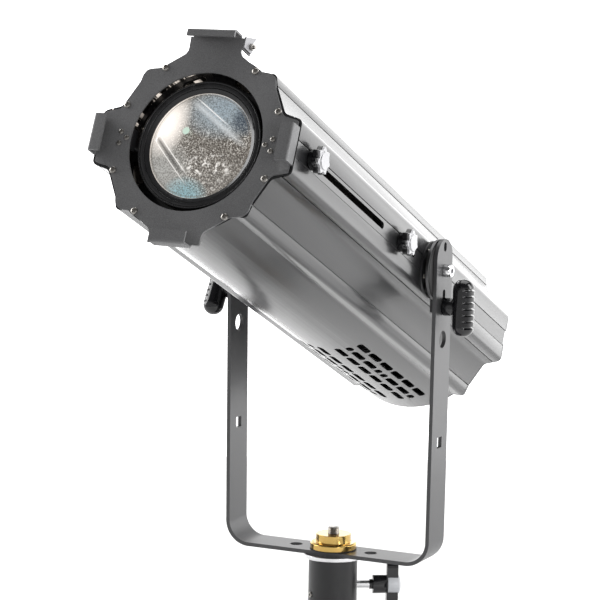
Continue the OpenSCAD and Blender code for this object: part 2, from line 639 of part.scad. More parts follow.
module heat_sink() color([0.16, 0.16, 0.17]) in_head() {
    along_y(led_y + 2, led_y + 12) square([92, 90], center = true);
    for (i = [-7:7]) along_y(led_y + 12, led_y + 86) translate([i * 6.4, 0]) square([1.8, 90], center = true);
}

module engine_brackets() color([0.30, 0.30, 0.31]) in_head() both_sides() {
    along_y(led_y + 2, led_y + 6) translate([46, -15]) square([side_x - wall - 46, 30]);
    translate([side_x - wall - 2, led_y + 6, -15]) cube([2, 18, 30]);
}

module led_driver() color([0.62, 0.63, 0.64]) in_head() {
    along_y(gate_y + plate_t + 2, 140) translate([-38, 50]) square([76, 25.4]);
    along_y(gate_y + plate_t, gate_y + plate_t + 2) translate([-42, 47]) square([84, 20]);
}

fan_y = shell_y1 - 25;
module fan_frame() color([0.05, 0.05, 0.05]) in_head() difference() {
    union() {
        along_y(fan_y, fan_y + 25) difference() {
            square(92, center = true);
            circle(r = 44, $fn = 96);
            four_ways([41.25, 41.25]) circle(r = 2.2);
        }
        along_y(fan_y + 21, fan_y + 25) {
            circle(r = 17);
            for (a = [45:90:315]) rotate(a) translate([15, -2]) square([31, 4]);
        }
        along_y(fan_y + 4, fan_y + 21) circle(r = 2);
    }
}

module fan_rotor() color([0.10, 0.10, 0.10]) in_head() difference() {
    union() {
        along_y(fan_y + 3, fan_y + 20) circle(r = 17);
        for (i = [0:6]) rotate([0, i * 360 / 7, 0]) translate([15, fan_y + 11.5, 0])
            rotate([38, 0, 0]) translate([0, -0.8, -10]) cube([26.5, 1.6, 20]);
    }
    along_y(fan_y + 2, fan_y + 21) circle(r = 2 + slip);
}

pole_socket();
socket_washer();
pan_stud();
pan_slip_washer();
flanged_nut();
grub_screw();
clamp_screw();
clamp_knob();
clamp_cap();
yoke_strap();
tilt_shoes();
right_lock_screw();
right_lock_grip();
left_lock_screw();
left_lock_grip();
front_plate();
frame_channels();
plate_screws();
rail_screws();
latch_clip();
latch_screw();
top_shell();
bottom_shell();
right_side_shell();
left_side_shell();
rear_cover();
rear_screws();
power_inlet();
data_sockets();
tilt_backing_plates();
backing_screws();
tilt_discs();
friction_rings();
pivot_bolts();
pivot_nuts();
rod_blocks();
guide_rods();
gate_bulkhead();
gate_ring();
focus_carriage();
lens_barrel();
lens_retaining_ring();
front_lens();
focus_knob_grip();
focus_knob_cap();
zoom_carriage();
zoom_lens();
zoom_lens_ring();
zoom_knob_grip();
zoom_knob_cap();
condenser_ring();
condenser_lens();
reflector();
led_board();
led_emitter();
heat_sink();
engine_brackets();
led_driver();
fan_frame();
fan_rotor();
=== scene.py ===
# %% [markdown]
# An ellipsoidal spotlight in its yoke.
# The measured model comes from CAD as a frame: every part already has its size and place,
# and Blender adds what CAD leaves out, which is finish, soft edges and small moulded detail.
# The frame is loaded first, and its box is noted, so that the growth beyond it can be printed at the end.
# The frame is loaded first, and its box is noted so that nothing grows out of it later.

import json
import math

import bmesh
import bpy
from mathutils import Matrix, Vector


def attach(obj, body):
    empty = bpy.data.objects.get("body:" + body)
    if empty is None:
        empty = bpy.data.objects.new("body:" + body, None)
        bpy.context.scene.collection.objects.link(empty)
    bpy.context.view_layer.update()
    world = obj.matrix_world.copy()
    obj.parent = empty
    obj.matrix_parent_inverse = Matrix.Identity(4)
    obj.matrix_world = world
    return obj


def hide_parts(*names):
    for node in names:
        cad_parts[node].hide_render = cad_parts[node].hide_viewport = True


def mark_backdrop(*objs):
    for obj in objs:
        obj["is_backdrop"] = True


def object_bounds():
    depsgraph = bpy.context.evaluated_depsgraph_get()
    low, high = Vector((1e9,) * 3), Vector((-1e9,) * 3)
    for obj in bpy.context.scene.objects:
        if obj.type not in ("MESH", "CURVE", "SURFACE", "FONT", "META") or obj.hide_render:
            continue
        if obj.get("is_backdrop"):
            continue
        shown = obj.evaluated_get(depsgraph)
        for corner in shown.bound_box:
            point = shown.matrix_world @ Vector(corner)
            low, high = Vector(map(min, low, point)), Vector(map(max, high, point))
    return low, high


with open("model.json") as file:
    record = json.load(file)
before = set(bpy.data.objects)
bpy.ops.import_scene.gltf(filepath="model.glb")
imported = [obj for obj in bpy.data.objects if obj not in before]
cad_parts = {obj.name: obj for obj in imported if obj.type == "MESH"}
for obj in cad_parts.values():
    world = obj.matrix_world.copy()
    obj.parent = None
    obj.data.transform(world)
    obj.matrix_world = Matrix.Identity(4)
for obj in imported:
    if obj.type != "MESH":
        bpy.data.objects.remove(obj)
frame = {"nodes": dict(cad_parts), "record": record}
cad_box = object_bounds()
BODY = {n: b for b, nodes in frame["record"]["behaviour"]["bodies"].items() for n in nodes}
SLOT = {s["node"]: s["material_slot"] for s in frame["record"]["subparts"]}
low, high = ([round(v, 3) for v in corner] for corner in cad_box)
print("frame:", len(BODY), "pieces, from", low, "to", high)

# %% [markdown]
# Most of this lamp is its head, which points 24.3 degrees up. It is far easier to think about
# when it lies level, with its optical axis along Y and the tilt axis at the origin.
# One matrix carries anything drawn that way to its real place, so every head piece below is
# drawn level, in millimetres, and moved once. The sizes that several pieces share stand here.

# %% Head placing
MM = 0.001
TILT = math.radians(24.3)
AXIS_Z = 378.5
PIVOT = Vector((0, 0, AXIS_Z * MM))
FROM_LEVEL = Matrix.Translation(PIVOT) @ Matrix.Rotation(-TILT, 4, "X")
TO_LEVEL = FROM_LEVEL.inverted()
PLATE_FACE = -347.8
COVER_BACK = 236.0
SHEET = 2.0
CAP_PORT = (46, 69.9)
SIDE_PORT = (77.3, 32)
print("front face of the plate is at", [round(v, 4) for v in FROM_LEVEL @ Vector((0, PLATE_FACE * MM, 0))])

# %% [markdown]
# A finish is a small node tree. Writing one as nodes and links is long and hard to read, so
# a socket is wrapped in a class whose operators add the Math nodes: rough * 2 + 0.1 builds
# what it says. One method makes every other node, for materials and for Geometry Nodes alike.

# %% Sockets that do sums
class Signal:
    """An output socket that can be added, multiplied and so on."""

    def __init__(self, bench, socket):
        self.bench = bench
        self.socket = socket

    def sum_with(self, operation, *others):
        return self.bench.make("ShaderNodeMath", {"operation": operation}, [self, *others])

    def __add__(self, other):
        return self.sum_with("ADD", other)

    def __mul__(self, other):
        return self.sum_with("MULTIPLY", other)

    def __sub__(self, other):
        return self.sum_with("SUBTRACT", other)

    def __truediv__(self, other):
        return self.sum_with("DIVIDE", other)

    def __pow__(self, other):
        return self.sum_with("POWER", other)

    def __rsub__(self, other):
        return self.bench.make("ShaderNodeMath", {"operation": "SUBTRACT"}, [other, self])

    def __rtruediv__(self, other):
        return self.bench.make("ShaderNodeMath", {"operation": "DIVIDE"}, [other, self])

    def __gt__(self, other):
        return self.sum_with("GREATER_THAN", other)

    def __lt__(self, other):
        return self.sum_with("LESS_THAN", other)

    def __abs__(self):
        return self.sum_with("ABSOLUTE")

    __radd__ = __add__
    __rmul__ = __mul__

    def clipped(self):
        return self.bench.make("ShaderNodeClamp", {}, [self])


class Bench:
    """A node tree with one method that makes, sets and wires a node."""

    def __init__(self, tree):
        self.tree = tree

    def make(self, kind, settings=None, inputs=(), output=0):
        node = self.tree.nodes.new(kind)
        for name, value in (settings or {}).items():
            setattr(node, name, value)
        pairs = inputs.items() if isinstance(inputs, dict) else enumerate(inputs)
        for name, value in pairs:
            if isinstance(value, Signal):
                self.tree.links.new(value.socket, node.inputs[name])
            else:
                node.inputs[name].default_value = value
        return Signal(self, node.outputs[output]) if len(node.outputs) else node


# %% [markdown]
# Every metal and plastic here is one Principled shader with a few layers of noise.
# Round grain is read in the object's own axes. Stretched noise, such as the drawn lines on the
# extrusions, is read in the head's level axes, so that it runs along the body.

# %% A finish to start from
class Finish(Bench):
    """A Principled material; colour, glow, roughness and relief may vary, the rest is constant."""

    def __init__(self, name, **constants):
        self.material = bpy.data.materials.new(name)
        self.material.use_nodes = True
        super().__init__(self.material.node_tree)
        self.tree.nodes.clear()
        self.shader = self.tree.nodes.new("ShaderNodeBsdfPrincipled")
        out = self.tree.nodes.new("ShaderNodeOutputMaterial")
        self.tree.links.new(self.shader.outputs[0], out.inputs["Surface"])
        for key, value in constants.items():
            self.shader.inputs[key.replace("_", " ")].default_value = value
        self.place = self.make("ShaderNodeTexCoord", output="Object")

    def drive(self, **signals):
        for key, signal in signals.items():
            self.tree.links.new(signal.socket, self.shader.inputs[key.replace("_", " ")])

    def level(self, stretch=(1, 1, 1)):
        """Coordinates in the level head, in metres, then stretched."""
        turned = self.make("ShaderNodeMapping", {"vector_type": "POINT"}, {
            "Vector": self.place, "Rotation": (TILT, 0, 0),
            "Location": (0, PIVOT.z * math.sin(TILT), -PIVOT.z * math.cos(TILT))})
        return self.make("ShaderNodeVectorMath", {"operation": "MULTIPLY"}, [turned, stretch])

    def noise(self, scale, detail=2.0, vector=None, roughness=0.5):
        return self.make("ShaderNodeTexNoise", {}, {
            "Vector": vector or self.place, "Scale": scale, "Detail": detail, "Roughness": roughness})

    def tint(self, mask, dark, light):
        """A colour between two, chosen by a mask from 0 to 1."""
        return self.make("ShaderNodeMix", {"data_type": "RGBA"},
                         {0: mask, 6: (*dark, 1), 7: (*light, 1)}, output=2)

    def over(self, under, mask, colour):
        """A colour laid over another one where the mask is 1."""
        return self.make("ShaderNodeMix", {"data_type": "RGBA"},
                         {0: mask.clipped(), 6: under, 7: (*colour, 1)}, output=2)

    def relief(self, height, depth, strength=1.0):
        """A bump; depth is in metres."""
        return self.make("ShaderNodeBump", {}, {"Strength": strength, "Distance": depth, "Height": height})


FINISH = {}

# %% [markdown]
# Body, plate and yoke are painted dark grey. Powder coat is baked from powder, so it dries with
# a fine orange-peel grain; the body paint also holds a little metal flake, which lifts its
# sheen at a grazing angle. The die lines of the extrusion still show through it as long
# straight lines, so a stretched noise runs along the body under the round grain.

# %% Paint and powder coats
def paint(name, dark, light, rough, grain=900.0, depth=0.00012, flake=0.0, drawn=0.0, gloss=0.5, coat=0.0):
    skin = Finish(name, Specular_IOR_Level=gloss, Metallic=flake, Coat_Weight=coat, Coat_Roughness=0.20)
    peel = skin.noise(grain, 2.0)
    specks = skin.noise(grain * 2.3, 1.0)
    clouds = skin.noise(12.0, 3.0)
    lines = skin.noise(1.0, 2.0, skin.level((900, 4, 900)), 0.6)
    shade = clouds * 0.5 + specks * 0.7 + lines * drawn - (0.12 + drawn * 0.5)
    skin.drive(
        Base_Color=skin.tint(shade.clipped(), dark, light),
        Roughness=(clouds * 0.12 + specks * 0.10 + lines * (0.12 * drawn) + (rough - 0.11)).clipped(),
        Normal=skin.relief(peel + specks * 0.4 + lines * drawn, depth, 0.5))
    return skin.material


FINISH["body_paint"] = paint("dark grey metallic body paint", (0.006, 0.006, 0.007), (0.020, 0.020, 0.021),
                             0.32, 1300.0, 0.00005, 0.20, 0.8, 0.25, 0.95)
FINISH["yoke_paint"] = paint("dark grey yoke paint", (0.036, 0.036, 0.038), (0.076, 0.076, 0.078),
                             0.40, 1100.0, 0.00006, 0.35, 0.0, 0.5, 0.15)
FINISH["dark_grey_powder_coat"] = paint("dark grey textured coat", (0.030, 0.030, 0.031),
                                        (0.210, 0.210, 0.214), 0.44, 620.0, 0.00024, 0.15)
FINISH["black_powder_coat"] = paint("black powder coat", (0.004, 0.004, 0.005), (0.011, 0.011, 0.012), 0.38)

# %% [markdown]
# Small steel parts are zinc plated. Bright zinc is nearly silver with a faint cloud in its
# gloss; the yellow kind is dipped in chromate, whose thin film drifts from amber to straw.

# %% Plated steel
def plated(name, dark, light, rough, spread=160.0):
    skin = Finish(name, Metallic=1.0)
    cloud = skin.noise(spread, 3.0)
    hair = skin.noise(1.0, 2.0, skin.level((2500, 2500, 160)), 0.6)
    skin.drive(
        Base_Color=skin.tint((cloud * 0.8 + hair * 0.3).clipped(), dark, light),
        Roughness=(cloud * 0.14 + hair * 0.10 + (rough - 0.10)).clipped(),
        Normal=skin.relief(hair, 0.00004, 0.3))
    return skin.material


FINISH["bright_steel"] = plated("bright zinc", (0.58, 0.58, 0.59), (0.86, 0.86, 0.87), 0.22)
FINISH["screw_steel"] = plated("screw zinc", (0.20, 0.19, 0.18), (0.46, 0.44, 0.41), 0.28, 400.0)
FINISH["yellow_zinc"] = plated("yellow passivated zinc", (0.42, 0.20, 0.045), (0.66, 0.50, 0.17), 0.17, 60.0)
FINISH["dull_zinc"] = plated("dull zinc", (0.26, 0.26, 0.27), (0.34, 0.34, 0.35), 0.55)
FINISH["turned_grey_metal"] = plated("turned grey metal", (0.06, 0.06, 0.062), (0.13, 0.13, 0.132), 0.30)
FINISH["chrome_steel"] = plated("chrome", (0.78, 0.78, 0.79), (0.88, 0.88, 0.89), 0.12)
FINISH["plain_aluminium"] = plated("mill finish aluminium", (0.50, 0.50, 0.51), (0.66, 0.66, 0.67), 0.38)
FINISH["dark_aluminium"] = plated("black anodised fins", (0.04, 0.04, 0.042), (0.07, 0.07, 0.073), 0.42)
FINISH["mirror_aluminium"] = plated("reflector coat", (0.86, 0.86, 0.87), (0.92, 0.92, 0.93), 0.10)

# %% [markdown]
# Plastics and the black inside parts. Moulded grips have a faint tool grain, the caps of the
# star knobs are glossy, and the anodised optics are satin so that they throw little stray light.

# %% Plastics and anodising
def moulded(name, dark, light, rough, coat=0.0, metallic=0.0, grain=1500.0, depth=0.00004):
    skin = Finish(name, Metallic=metallic, Coat_Weight=coat, Coat_Roughness=0.08)
    tool = skin.noise(grain, 2.0)
    haze = skin.noise(45.0, 3.0)
    skin.drive(
        Base_Color=skin.tint((haze * 0.8 + tool * 0.3 - 0.05).clipped(), dark, light),
        Roughness=(haze * 0.16 + tool * 0.06 + (rough - 0.10)).clipped(),
        Normal=skin.relief(tool, depth, 0.4))
    return skin.material


FINISH["black_plastic"] = moulded("black moulded plastic", (0.002, 0.002, 0.003),
                                  (0.005, 0.005, 0.006), 0.14, 0.15)
FINISH["black_fibre"] = moulded("black fibre", (0.010, 0.010, 0.010), (0.022, 0.022, 0.022), 0.72)
FINISH["grey_plastic"] = moulded("light grey plastic", (0.40, 0.41, 0.43), (0.50, 0.51, 0.53), 0.36)
FINISH["clear_cap_plastic"] = moulded("silver cap plastic", (0.24, 0.24, 0.25),
                                      (0.40, 0.40, 0.41), 0.20, 0.5, 0.5)
FINISH["black_anodised"] = moulded("black anodising", (0.012, 0.012, 0.013),
                                   (0.026, 0.026, 0.028), 0.28, 0.4, 0.4)
FINISH["white_board"] = moulded("white board", (0.70, 0.69, 0.65), (0.80, 0.79, 0.75), 0.30)
FINISH["yellow_emitter"] = moulded("phosphor", (0.78, 0.62, 0.16), (0.86, 0.74, 0.28), 0.45)

# %% [markdown]
# The inner lenses are plain clear glass with a little dust, which changes the roughness and,
# barely, the tint.

# %% Clear glass
def lens_glass():
    skin = Finish("coated lens glass", Transmission_Weight=1.0, IOR=1.52)
    dust = skin.noise(220.0, 4.0)
    skin.drive(
        Base_Color=skin.tint(dust, (0.93, 0.96, 0.97), (0.98, 0.99, 1.0)),
        Roughness=(dust * 0.05 - 0.01).clipped())
    return skin.material


FINISH["lens_glass"] = lens_glass()

# %% [markdown]
# The front lens has stood open to the stage for years, so it isn't clear any more. Dust and dried droplets
# speckle it. Over them lie painted light and shade: painted reflections, cool on one side and warm on the
# other, painted streaks of refracted light, bright and dark, a painted green highlight, a painted bright rim
# with a dark line inside it, and a faint painted glow over the whole face. Each of these is a mask over the
# lens's own disc, where u and v run from -1 to 1, and each mask lays one colour over the last.

# %% Front lens with its dust, painted reflections, painted streaks of light and a painted glow
def dusty_front_lens(radius=0.0526):
    skin = Finish("dusty front lens", Transmission_Weight=0.35, IOR=1.52, Roughness=0.08,
                  Emission_Strength=0.55, Coat_Weight=0.6, Coat_Roughness=0.03)
    parts = skin.make("ShaderNodeSeparateXYZ", {}, [skin.level()]).socket.node.outputs
    u = Signal(skin, parts[0]) / radius
    v = Signal(skin, parts[2]) / radius
    reach = (u * u + v * v) ** 0.5

    def spot(cu, cv, ru, rv):
        return (1.0 - ((u - cu) / ru) ** 2.0 - ((v - cv) / rv) ** 2.0).clipped()

    def streak(slope, across, width, start, end):
        """A straight painted streak down to the right at a slope in degrees, at a distance across the
        middle.
        """
        fall, run = math.sin(math.radians(slope)), math.cos(math.radians(slope))
        off = abs(u * fall + v * run - across)
        along = u * run - v * fall
        ends = ((along - start) * 5.0).clipped() * ((end - along) * 3.0).clipped()
        return (1.0 - off / width).clipped() * ends

    fine = skin.noise(760.0, 2.0)
    coarse = skin.noise(240.0, 3.0)
    clouds = skin.noise(38.0, 3.0)
    grit = (fine * 3.2 - 1.1).clipped()
    specks = (fine * 6.0 - 3.2).clipped()
    droplets = (coarse * 8.0 - 4.3).clipped()
    # two thin painted streaks of bright refracted light
    thin_light_streaks = streak(45, -0.47, 0.016, -0.8, 0.45) + streak(45, -0.59, 0.013, -0.8, 0.5)
    layers = [
        # dust, then painted reflections: a cool sheen, a dark patch, a grey patch, a warm glare and a cyan
        # patch
        (specks * (clouds * 2.2 - 0.3), (0.80, 0.77, 0.72)),
        (spot(0.36, 0.66, 0.85, 0.60) * (0.35 + grit * 0.7), (0.33, 0.40, 0.45)),
        (spot(0.74, 0.50, 0.24, 0.34) * (1.1 - grit * 0.5), (0.045, 0.060, 0.080)),
        (spot(-0.62, -0.52, 0.62, 0.62) * (0.35 + grit * 0.6), (0.40, 0.40, 0.385)),
        (spot(-0.74, 0.40, 0.52, 0.70) * 1.05, (0.93, 0.88, 0.83)),
        (spot(-0.12, -0.92, 0.48, 0.34) * (0.2 + grit * 0.9), (0.24, 0.43, 0.48)),
        # dried droplets, then painted streaks of refracted light, bright and dark
        (spot(0.28, -0.40, 0.62, 0.30) * droplets, (0.92, 0.89, 0.85)),
        (streak(34, 0.50, 0.085, -0.75, 0.75) * 0.55, (0.70, 0.72, 0.73)),
        (streak(34, 0.585, 0.018, -0.70, 0.30) * 0.85, (0.95, 0.94, 0.92)),
        (streak(45, -0.53, 0.060, -0.75, 0.35) * 0.8, (0.060, 0.055, 0.050)),
        (thin_light_streaks * 0.85, (0.90, 0.88, 0.85)),
        # a painted green highlight, a painted bright rim of light in the glass edge and the dark line inside
        # it
        (spot(-0.27, 0.22, 0.075, 0.075) * 4.0 * 0.8, (0.50, 0.64, 0.55)),
        ((reach > 0.962) * 0.8, (0.80, 0.74, 0.68)),
        ((reach > 0.925) * (reach < 0.942) * 0.6, (0.16, 0.14, 0.12)),
    ]
    look = skin.tint(grit, (0.060, 0.052, 0.043), (0.25, 0.23, 0.205))
    for mask, colour in layers:
        look = skin.over(look, mask, colour)
    # The lens is no lamp: its colour also glows faintly, a painted glow for light sent back through the
    # glass.
    skin.drive(Base_Color=look, Emission_Color=look)
    return skin.material


FINISH["dusty_front_lens"] = dusty_front_lens()
print("finishes:", len(FINISH))

# %% [markdown]
# CAD edges are knife sharp, and that alone makes a render look false, because every real edge
# is broken or bent and catches a thin line of light. Each CAD piece is copied, its loose
# triangles are merged, flat faces are joined, and a narrow Bevel goes on the sharp edges.
# Hardened normals keep the wide flat faces truly flat beside the rounded edge.

# %% Softening the edges of a CAD piece
FLAT_ENOUGH = math.radians(0.4)


def object_from(name, mesh):
    thing = bpy.data.objects.new(name, mesh)
    bpy.context.scene.collection.objects.link(thing)
    return thing


def merged_copy(node):
    mesh = frame["nodes"][node].data.copy()
    work = bmesh.new()
    work.from_mesh(mesh)
    bmesh.ops.remove_doubles(work, verts=work.verts, dist=2e-6)
    bmesh.ops.dissolve_degenerate(work, dist=2e-6, edges=work.edges)
    bmesh.ops.dissolve_limit(work, angle_limit=FLAT_ENOUGH, verts=work.verts, edges=work.edges,
                             delimit={"NORMAL"})
    work.to_mesh(mesh)
    work.free()
    return mesh


def shade_by_angle(mesh, angle=32.0):
    mesh.shade_smooth()
    mesh.set_sharp_from_angle(angle=math.radians(angle))


def break_edges(piece, width, steps=2, sharp=38.0):
    shade_by_angle(piece.data, sharp)
    bevel = piece.modifiers.new("broken edge", "BEVEL")
    bevel.width = width * MM
    bevel.segments = steps
    bevel.limit_method = "ANGLE"
    bevel.angle_limit = math.radians(sharp)
    bevel.use_clamp_overlap = True
    bevel.harden_normals = True
    return piece


def frozen(piece):
    """The piece's modifiers, applied by making a plain mesh of what they give."""
    view = bpy.context.evaluated_depsgraph_get()
    mesh = bpy.data.meshes.new_from_object(piece.evaluated_get(view))
    piece.modifiers.clear()
    piece.data = mesh
    return piece


def hand_over(piece, finish, body, slot, *nodes):
    """Gives a finished piece its material and its body, and hides the CAD nodes it stands for; slot is not
    used.
    """
    if finish is not None:
        piece.data.materials.clear()
        piece.data.materials.append(finish)
    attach(piece, body)
    if nodes:
        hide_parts(*nodes)


# width of the broken edge in millimetres, where it isn't PLAIN_EDGE
PLAIN_EDGE = 0.2
EDGE = {
    "yoke_strap": 0.5, "socket_washer": 0.25, "pole_socket": 0.6, "flanged_nut": 0.5,
    "clamp_knob": 0.9, "clamp_cap": 0.6, "pivot_bolts": 0.35, "rear_cover": 0.5, "latch_clip": 0.15,
    "top_shell": 0.25, "bottom_shell": 0.25, "right_side_shell": 0.25, "left_side_shell": 0.25,
    "focus_knob_grip": 0.7, "zoom_knob_grip": 0.7, "focus_knob_cap": 0.9, "zoom_knob_cap": 0.9}

# %% [markdown]
# The lamp is full of small screws, and they differ only in place and in how far they were
# turned. For each set one head is modelled, a dome with a cross-shaped recess, and Geometry
# Nodes put it on every point of a list with a seeded random turn. Realize Instances then makes
# real mesh.

# %% One cross-head screw
def turned_mesh(name, profile, steps=32):
    """A closed lathe shape from [radius, height] points about Z; the ends lie on the axis."""
    work = bmesh.new()
    rings = []
    for r, h in profile:
        if r < 1e-9:
            rings.append([work.verts.new((0, 0, h * MM))])
        else:
            rings.append([work.verts.new((r * MM * math.cos(a), r * MM * math.sin(a), h * MM))
                          for a in [math.tau * i / steps for i in range(steps)]])
    for low, high in zip(rings, rings[1:]):
        for i in range(steps):
            j = (i + 1) % steps
            corners = [low[i % len(low)], low[j % len(low)], high[j % len(high)], high[i % len(high)]]
            corners = [c for k, c in enumerate(corners) if c not in corners[:k]]
            if len(corners) > 2:
                work.faces.new(corners)
    bmesh.ops.recalc_face_normals(work, faces=work.faces)
    mesh = bpy.data.meshes.new(name)
    work.to_mesh(mesh)
    work.free()
    return mesh


def cross_head(name, radius, height):
    """A pan head standing on Z = 0, with a cross recess cut by a Boolean."""
    dome = [(0, 0), (radius, 0), (radius, height * 0.35), (radius * 0.93, height * 0.68),
            (radius * 0.72, height * 0.90), (radius * 0.4, height), (0, height)]
    head = object_from(name, turned_mesh(name, dome, 28))
    cutter = bpy.data.meshes.new("cross")
    work = bmesh.new()
    for turn in (0, 90):
        arm = bmesh.ops.create_cube(work, size=1.0)
        size = Matrix.Diagonal((radius * 1.25 * MM, radius * 0.40 * MM, height * 1.5 * MM, 1))
        place = Matrix.Translation((0, 0, height * MM)) @ Matrix.Rotation(math.radians(turn), 4, "Z")
        bmesh.ops.transform(work, matrix=place @ size, verts=arm["verts"])
    work.to_mesh(cutter)
    work.free()
    tool = object_from("cross", cutter)
    cut = head.modifiers.new("recess", "BOOLEAN")
    cut.operation = "DIFFERENCE"
    cut.solver = "EXACT"
    cut.use_self = True
    cut.object = tool
    frozen(head)
    bpy.data.objects.remove(tool)
    shade_by_angle(head.data, 35)
    return head


# %% The tree that sets screws on points
def growing_tree(name, sizes):
    """An empty Geometry Nodes tree with named inputs; sizes maps a name to its socket type."""
    tree = bpy.data.node_groups.new(name, "GeometryNodeTree")
    tree.interface.new_socket("Geometry", in_out="INPUT", socket_type="NodeSocketGeometry")
    for label, kind in sizes.items():
        tree.interface.new_socket(label, in_out="INPUT", socket_type=kind)
    tree.interface.new_socket("Geometry", in_out="OUTPUT", socket_type="NodeSocketGeometry")
    bench = Bench(tree)
    start = tree.nodes.new("NodeGroupInput")
    end = tree.nodes.new("NodeGroupOutput")
    given = {s.name: Signal(bench, s) for s in start.outputs if s.name}
    return bench, given, end


def screw_tree():
    bench, given, end = growing_tree("screws on points", {
        "Head": "NodeSocketObject", "Facing": "NodeSocketRotation", "Most turn": "NodeSocketFloat",
        "Seed": "NodeSocketInt", "Finish": "NodeSocketMaterial"})
    head = bench.make("GeometryNodeObjectInfo", {}, {"Object": given["Head"]}, output="Geometry")
    set_on = bench.make("GeometryNodeInstanceOnPoints", {}, {
        "Points": given["Geometry"], "Instance": head, "Rotation": given["Facing"]})
    turn = bench.make("FunctionNodeRandomValue", {"data_type": "FLOAT"},
                      {2: 0.0, 3: given["Most turn"], 8: given["Seed"]}, output=1)
    spin = bench.make("ShaderNodeCombineXYZ", {}, {"Z": turn})
    turned = bench.make("GeometryNodeRotateInstances", {}, {"Instances": set_on, "Rotation": spin})
    solid = bench.make("GeometryNodeRealizeInstances", {}, {"Geometry": turned})
    coated = bench.make("GeometryNodeSetMaterial", {}, {"Geometry": solid, "Material": given["Finish"]})
    bench.tree.links.new(coated.socket, end.inputs["Geometry"])
    return bench.tree


def grow(piece, tree, **sizes):
    """Adds the tree as a modifier; each input is set by its socket's identifier."""
    work = piece.modifiers.new("grown", "NODES")
    work.node_group = tree
    key = {s.name: s.identifier for s in tree.interface.items_tree
           if s.item_type == "SOCKET" and s.in_out == "INPUT"}
    for label, value in sizes.items():
        work[key[label.replace("_", " ")]] = value
    return frozen(piece)


SCREWS = screw_tree()


def screw_set(name, node, points, radius, height, facing, seed):
    """Screws at points given in the level head, all facing one way."""
    head = cross_head(name + "_head", radius, height)
    mesh = bpy.data.meshes.new(name)
    mesh.from_pydata([FROM_LEVEL @ (Vector(p) * MM) for p in points], [], [])
    piece = object_from(name, mesh)
    turn = (FROM_LEVEL.to_3x3() @ facing).to_euler()
    grow(piece, SCREWS, Head=head, Facing=turn, Most_turn=math.tau, Seed=seed, Finish=FINISH["screw_steel"])
    bpy.data.objects.remove(head)
    hand_over(piece, None, BODY[node], SLOT[node], node)
    print(name, len(points), "screws,", len(piece.data.polygons), "faces")


AHEAD = Matrix.Rotation(math.radians(90), 3, "X")
BEHIND = Matrix.Rotation(math.radians(-90), 3, "X")
four = [(sx, sz) for sx in (-1, 1) for sz in (-1, 1)]
ports = [(sx * x, sz * z) for x, z in (CAP_PORT, SIDE_PORT) for sx, sz in four]
rails = [(s * x, z) for s in (-1, 1) for x, z in ((70.8, 0), (77.5, 5.7), (77.5, -5.7))]
screw_set("front_port_screws", "plate_screws", [(x, PLATE_FACE, z) for x, z in ports], 3.25, 1.9, AHEAD, 3)
screw_set("rail_fixing_screws", "rail_screws", [(x, PLATE_FACE, z) for x, z in rails], 2.5, 1.3, AHEAD, 5)
screw_set("rear_port_screws", "rear_screws", [(x, COVER_BACK, z) for x, z in ports], 3.25, 1.9, BEHIND, 8)

# %% [markdown]
# The grip of each tilt lock is a moulded capsule with raised ribs on its outer side, where the
# fingers pull. The ribs follow a rule, so a smooth capsule goes in and the position field
# pushes its surface inwards between the ribs. The same idea cuts the thread of the pan stud:
# there the push depends on the height and on the angle round the axis together.

# %% Ribs and threads as position fields
NEVER_ZERO = 1e-9  # keeps the distance from the axis above zero


def axis_field(bench):
    """The position as x, y and z, and the distance from the Z axis."""
    parts = bench.make("ShaderNodeSeparateXYZ", {}, [bench.make("GeometryNodeInputPosition")])
    x, y, z = (Signal(bench, parts.socket.node.outputs[i]) for i in range(3))
    return x, y, z, (x * x + y * y + NEVER_ZERO) ** 0.5


def pushed_in(bench, given, end, x, y, away, push):
    """Moves every point towards the Z axis by push."""
    inward = bench.make("ShaderNodeCombineXYZ", {}, [x / away * push * -1.0, y / away * push * -1.0, 0.0])
    moved = bench.make("GeometryNodeSetPosition", {}, {"Geometry": given["Geometry"], "Offset": inward})
    bench.tree.links.new(moved.socket, end.inputs["Geometry"])
    return bench.tree


def rib_tree():
    bench, given, end = growing_tree("ribs on one side", {
        "Pitch": "NodeSocketFloat", "Depth": "NodeSocketFloat", "Half length": "NodeSocketFloat"})
    x, y, z, away = axis_field(bench)
    outer = ((x / away - 0.28) * 4.0).clipped()
    wave = bench.make("ShaderNodeMath", {"operation": "COSINE"}, [z * math.tau / given["Pitch"]])
    inside = ((given["Half length"] - abs(z)) * 900.0).clipped()
    groove = (wave * 2.2 - 0.9).clipped()
    return pushed_in(bench, given, end, x, y, away, groove * outer * inside * given["Depth"])


def thread_tree():
    bench, given, end = growing_tree("thread", {
        "Pitch": "NodeSocketFloat", "Depth": "NodeSocketFloat", "From": "NodeSocketFloat"})
    x, y, z, away = axis_field(bench)
    angle = bench.make("ShaderNodeMath", {"operation": "ARCTAN2"}, [y, x])
    turn = bench.make("ShaderNodeMath", {"operation": "FRACT"}, [z / given["Pitch"] - angle / math.tau])
    flank = abs(turn - 0.5) * 2.0
    rim = away > 0.004
    return pushed_in(bench, given, end, x, y, away, flank * given["Depth"] * (z > given["From"]) * rim)


RIBS = rib_tree()
THREAD = thread_tree()

# %% The two tilt-lock grips
ARM_OUT = 117.2
GRIP_X = ARM_OUT + 21.2
LOCK_Z = AXIS_Z - 36.4
LEFT_GRIP_TURN = -32


def capsule(reach, radius, rows, steps):
    """Half outline of a rod with round ends; reach is half its straight length."""
    angles = [math.radians(-90 + 90 * i / steps) for i in range(1, steps)]
    ball = [(radius * math.cos(a), -reach + radius * math.sin(a)) for a in angles]
    straight = [(radius, -reach + 2 * reach * i / rows) for i in range(rows + 1)]
    far_ball = [(r, -h) for r, h in reversed(ball)]
    return [(0, -reach - radius)] + ball + straight + far_ball + [(0, reach + radius)]


